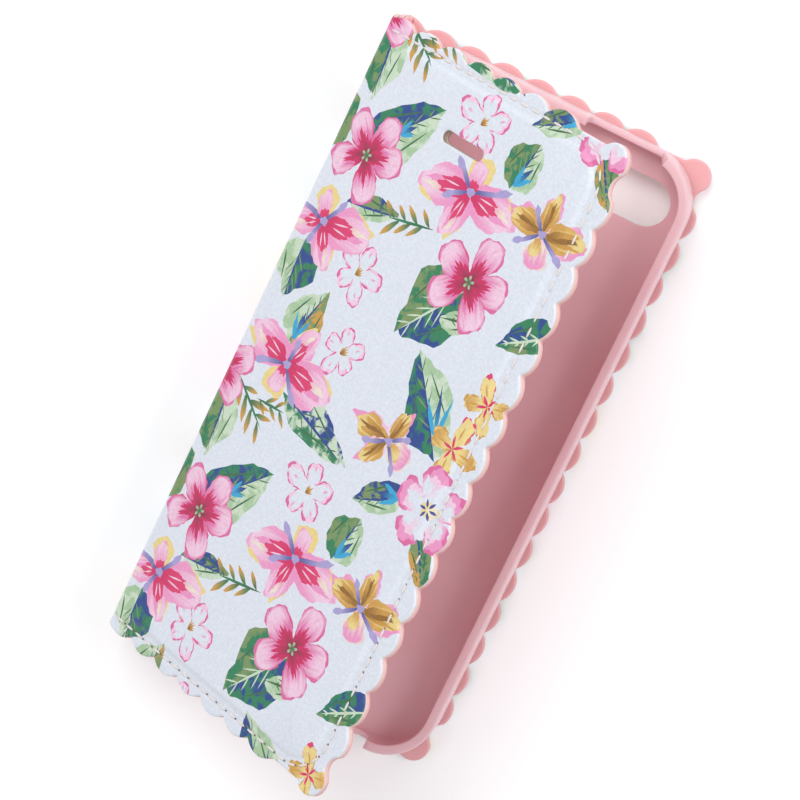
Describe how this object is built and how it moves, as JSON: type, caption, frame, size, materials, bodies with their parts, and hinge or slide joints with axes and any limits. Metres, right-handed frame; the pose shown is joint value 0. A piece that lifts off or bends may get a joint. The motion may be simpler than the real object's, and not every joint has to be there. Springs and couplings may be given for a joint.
{
  "type": "phone case",
  "caption": "Folio phone case: a scalloped, printed leather cover folds over a spine to close on a soft tray that grips the phone.",
  "frame": {"origin": "on the outer face of the back panel, under the middle of the tray", "axes": "+X from the spine to the free edge, +Y along the phone towards its top, +Z out of the phone's screen"},
  "size_m": [0.0659, 0.1292, 0.0511],
  "materials": {
    "printed_leather": "white coated leather with a printed flower pattern, fine grain, soft sheen",
    "backing_sheet": "cream reinforcing sheet, matte",
    "stiffener_board": "plain stiffener board, matte",
    "pink_lining": "smooth pink coated lining, matte",
    "sewing_thread": "twisted polyester thread",
    "bonding_pad": "closed-cell foam pad, matte",
    "tray_plastic": "frosted translucent pink soft plastic"
  },
  "bodies": {
    "back": {"back_leather": "printed_leather", "back_backing": "backing_sheet", "back_board": "stiffener_board", "back_lining": "pink_lining", "back_seam_thread": "sewing_thread", "tray_pad": "bonding_pad", "tray": "tray_plastic"},
    "spine": {"spine_leather": "printed_leather", "spine_strip": "backing_sheet", "spine_lining": "pink_lining"},
    "cover": {"cover_leather": "printed_leather", "cover_backing": "backing_sheet", "cover_board": "stiffener_board", "cover_lining": "pink_lining", "cover_seam_thread": "sewing_thread"}
  },
  "joints": [
    {"name": "spine_fold", "type": "hinge", "parent": "back", "child": "spine", "pos_m": [-0.0332, 0, 0.00135], "axis": [0, 1, 0], "range_deg": [-90, 0]},
    {"name": "cover_fold", "type": "hinge", "parent": "spine", "child": "cover", "pos_m": [-0.0332, 0, 0.01395], "axis": [0, 1, 0], "range_deg": [-56, 34]}
  ]
}
